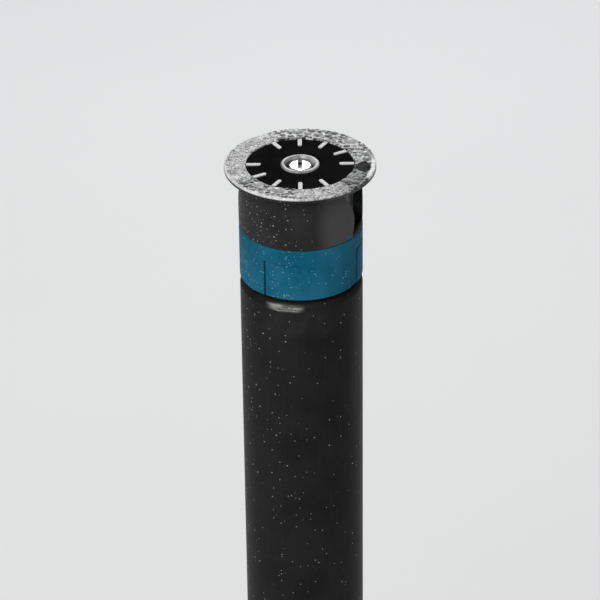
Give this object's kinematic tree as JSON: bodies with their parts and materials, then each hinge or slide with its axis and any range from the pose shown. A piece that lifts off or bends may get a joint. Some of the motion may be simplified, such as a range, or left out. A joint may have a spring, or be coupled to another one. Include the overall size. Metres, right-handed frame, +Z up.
{
  "type": "pop up sprinkler",
  "caption": "Buried pop up spray sprinkler, stem raised: threaded case and cap, spring returned stem, two way spray nozzle with blue ring and radius screw.",
  "frame": {"origin": "middle of the case's bottom face, on the stem's axis", "axes": "+Z up along the stem; -Y is the side the picture looks at; spray ports at 345 and 165 degrees from +X"},
  "size_m": [0.0568, 0.0568, 0.3866],
  "materials": {
    "case_black": "moulded black plastic, satin, faint dust",
    "stem_black": "moulded black plastic, satin, wet with fine droplets",
    "head_black": "moulded black plastic, wet, beaded with water on its upper face",
    "ring_blue": "moulded blue plastic, satin, wet",
    "dial_black": "smooth black plastic disc",
    "mark_grey": "pale grey plastic",
    "stainless": "turned stainless steel",
    "spring_steel": "drawn stainless wire",
    "seal_rubber": "soft black moulded rubber",
    "guide_plastic": "pale grey acetal",
    "insert_plastic": "dark grey plastic",
    "throttle_plastic": "white acetal",
    "filter_plastic": "grey polypropylene mesh basket"
  },
  "bodies": {
    "case_body": {"case": "case_black", "cap": "case_black", "wiper_seal": "seal_rubber", "spring_seat": "guide_plastic", "retraction_spring": "spring_steel"},
    "guide": {"ratchet_ring": "guide_plastic"},
    "stem_body": {"stem": "stem_black", "check_seal": "seal_rubber", "nozzle_gasket": "seal_rubber", "filter_screen": "filter_plastic", "nozzle_base": "ring_blue", "nozzle_head": "head_black", "dial_plate": "dial_black", "dial_marks": "mark_grey", "screw_bezel": "mark_grey", "fan_insert_right": "insert_plastic", "fan_insert_left": "insert_plastic", "screw_o_ring": "seal_rubber"},
    "screw_body": {"radius_screw": "stainless", "screw_clip": "stainless"},
    "throttle_body": {"throttle": "throttle_plastic"}
  },
  "joints": [
    {"name": "stem_lift", "type": "slide", "parent": "case_body", "child": "guide", "axis": [0, 0, 1], "range_m": [-0.15, 0], "deforming": ["retraction_spring"]},
    {"name": "stem_ratchet", "type": "hinge", "parent": "guide", "child": "stem_body", "pos_m": [0, 0, 0.18], "axis": [0, 0, 1], "continuous": true},
    {"name": "radius_turn", "type": "hinge", "parent": "stem_body", "child": "screw_body", "pos_m": [0, 0, 0.38], "axis": [0, 0, 1], "range_deg": [-1351, 0]},
    {"name": "throttle_travel", "type": "slide", "parent": "stem_body", "child": "throttle_body", "axis": [0, 0, 1], "range_m": [-0.003, 0]}
  ],
  "couplings": [
    {"joint": "radius_turn", "follows": "throttle_travel", "rad_per_m": 7854}
  ]
}
